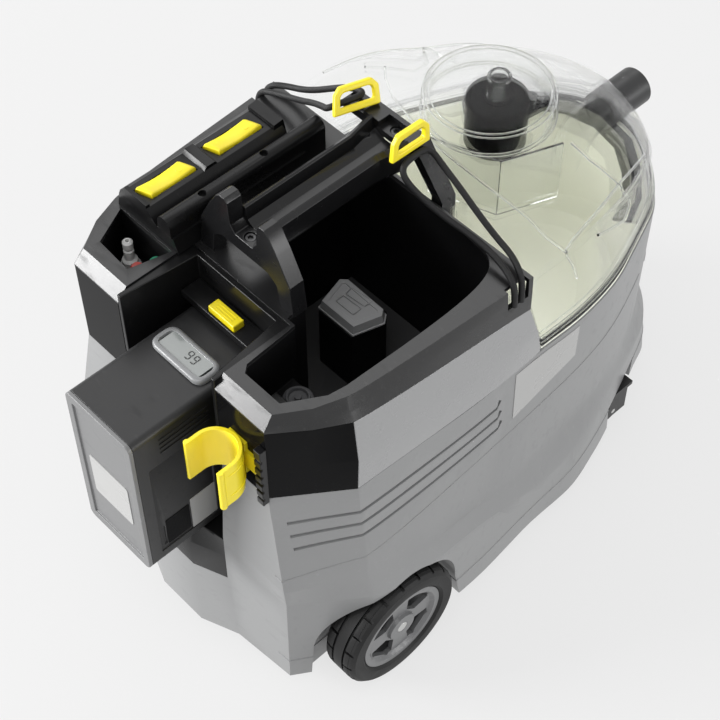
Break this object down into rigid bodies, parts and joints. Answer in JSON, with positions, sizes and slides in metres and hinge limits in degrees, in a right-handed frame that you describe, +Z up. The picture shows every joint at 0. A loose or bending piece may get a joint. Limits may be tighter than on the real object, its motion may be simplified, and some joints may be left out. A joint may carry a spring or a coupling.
{
  "type": "spot extractor",
  "caption": "Battery spot extractor with clear domed tank cover, storage bin under a carry handle, rocker console, slide-out battery, rear wheels and swivel casters",
  "frame": {"origin": "on the floor, under the middle of the machine's bounding box", "axes": "+X to the clear nose with the hose stub, +Y to the switch console, +Z up"},
  "size_m": [0.573, 0.324, 0.4253],
  "materials": {
    "tub_grey": "fine textured moulded grey plastic, satin",
    "panel_grey": "smooth light grey plastic",
    "black_gloss": "gloss black plastic",
    "black_satin": "satin black moulded plastic",
    "handle_black": "satin black moulded plastic",
    "bin_grey": "grey moulded mat",
    "battery_black": "textured black plastic",
    "battery_grey": "light grey plastic end plate",
    "display_grey": "grey plastic frame",
    "display_glass": "display window",
    "yellow": "bright yellow plastic",
    "clear": "clear moulded plastic",
    "tank_pale": "pale translucent tank plastic",
    "tank_white": "natural white tank plastic",
    "seal_black": "black rubber",
    "tyre_black": "grey black tyre rubber",
    "hub_grey": "grey plastic hub",
    "steel": "bright steel",
    "elastic": "black covered elastic",
    "white": "white plastic",
    "caps": "coloured coupling caps",
    "board": "circuit board",
    "plug_grey": "grey rubber plug"
  },
  "bodies": {
    "root": {"tub_shell": "tub_grey", "bay_tray": "black_satin", "battery_bay": "black_satin", "corner_panel_right": "black_gloss", "corner_panel_left": "black_gloss", "side_panel_right": "panel_grey", "side_panel_left": "panel_grey", "deck_frame": "black_satin", "storage_bin": "black_satin", "bin_mat": "bin_grey", "service_well": "black_satin", "well_block": "black_satin", "hose_plug": "plug_grey", "fresh_tank": "tank_white", "fill_neck": "black_satin", "handle_rear_arch": "handle_black", "handle_grip": "handle_black", "handle_front_arch": "handle_black", "handle_screws": "steel", "console_housing": "black_satin", "release_bar": "black_satin", "rear_axle": "steel", "clip_rail": "black_satin", "accessory_clip": "yellow", "hook_right": "yellow", "hook_left": "yellow", "strap_right": "elastic", "strap_left": "elastic", "spray_coupling": "white", "service_caps": "caps", "turbine_housing": "black_satin", "motor": "steel", "suction_duct": "black_satin", "control_board": "board", "pump": "black_satin"},
    "rocker_rear": {"rocker_rear": "yellow"},
    "rocker_front": {"rocker_front": "yellow"},
    "release_button": {"release_button": "yellow"},
    "battery": {"battery_case": "battery_black", "battery_end_frame": "battery_grey", "display_frame": "display_grey", "display_screen": "display_glass"},
    "wheel_right": {"tyre_right": "tyre_black", "hub_right": "hub_grey"},
    "wheel_left": {"tyre_left": "tyre_black", "hub_left": "hub_grey"},
    "caster_right": {"caster_fork_right": "black_satin", "caster_pin_right": "steel"},
    "caster_left": {"caster_fork_left": "black_satin", "caster_pin_left": "steel"},
    "caster_roller_right": {"caster_wheel_right": "tyre_black"},
    "caster_roller_left": {"caster_wheel_left": "tyre_black"},
    "fill_cap": {"fill_cap": "black_gloss"},
    "tank": {"dirty_tank": "tank_pale"},
    "cover": {"clear_cover": "clear", "cover_seal": "seal_black", "hose_stub": "hub_grey", "float_housing": "black_satin"},
    "float": {"float_ball": "white"},
    "fan": {"fan_impeller": "white"}
  },
  "joints": [
    {"name": "wheel_right_spin", "type": "hinge", "parent": "root", "child": "wheel_right", "pos_m": [-0.145, -0.1455, 0.0577], "axis": [0, 1, 0], "continuous": true},
    {"name": "wheel_left_spin", "type": "hinge", "parent": "root", "child": "wheel_left", "pos_m": [-0.145, 0.1455, 0.0577], "axis": [0, 1, 0], "continuous": true},
    {"name": "caster_right_swivel", "type": "hinge", "parent": "root", "child": "caster_right", "pos_m": [0.172, -0.106, 0.045], "axis": [0, 0, 1], "continuous": true},
    {"name": "caster_left_swivel", "type": "hinge", "parent": "root", "child": "caster_left", "pos_m": [0.172, 0.106, 0.045], "axis": [0, 0, 1], "continuous": true},
    {"name": "caster_right_roll", "type": "hinge", "parent": "caster_right", "child": "caster_roller_right", "pos_m": [0.162, -0.106, 0.02], "axis": [0, 1, 0], "continuous": true},
    {"name": "caster_left_roll", "type": "hinge", "parent": "caster_left", "child": "caster_roller_left", "pos_m": [0.162, 0.106, 0.02], "axis": [0, 1, 0], "continuous": true},
    {"name": "rocker_rear_tip", "type": "hinge", "parent": "root", "child": "rocker_rear", "pos_m": [-0.146, 0.0905, 0.377], "axis": [0, 1, 0], "range_deg": [-6, 6]},
    {"name": "rocker_front_tip", "type": "hinge", "parent": "root", "child": "rocker_front", "pos_m": [-0.083, 0.0905, 0.377], "axis": [0, 1, 0], "range_deg": [-6, 6]},
    {"name": "release_button_press", "type": "slide", "parent": "root", "child": "release_button", "axis": [0, 0, -1], "range_m": [0, 0.004], "stiffness_N_per_m": 200},
    {"name": "battery_slide", "type": "slide", "parent": "root", "child": "battery", "axis": [-1, 0, 0], "range_m": [0, 0.14]},
    {"name": "fill_cap_lift", "type": "slide", "parent": "root", "child": "fill_cap", "axis": [0, 0, 1], "range_m": [0, 0.08]},
    {"name": "tank_lift", "type": "slide", "parent": "root", "child": "tank", "axis": [0, 0, 1], "range_m": [0, 0.25]},
    {"name": "cover_lift", "type": "slide", "parent": "tank", "child": "cover", "axis": [0, 0, 1], "range_m": [0, 0.16]},
    {"name": "float_rise", "type": "slide", "parent": "cover", "child": "float", "axis": [0, 0, 1], "range_m": [0, 0.015]},
    {"name": "fan_spin", "type": "hinge", "parent": "root", "child": "fan", "pos_m": [-0.092, 0.055, 0.118], "axis": [0, 0, 1], "continuous": true}
  ]
}
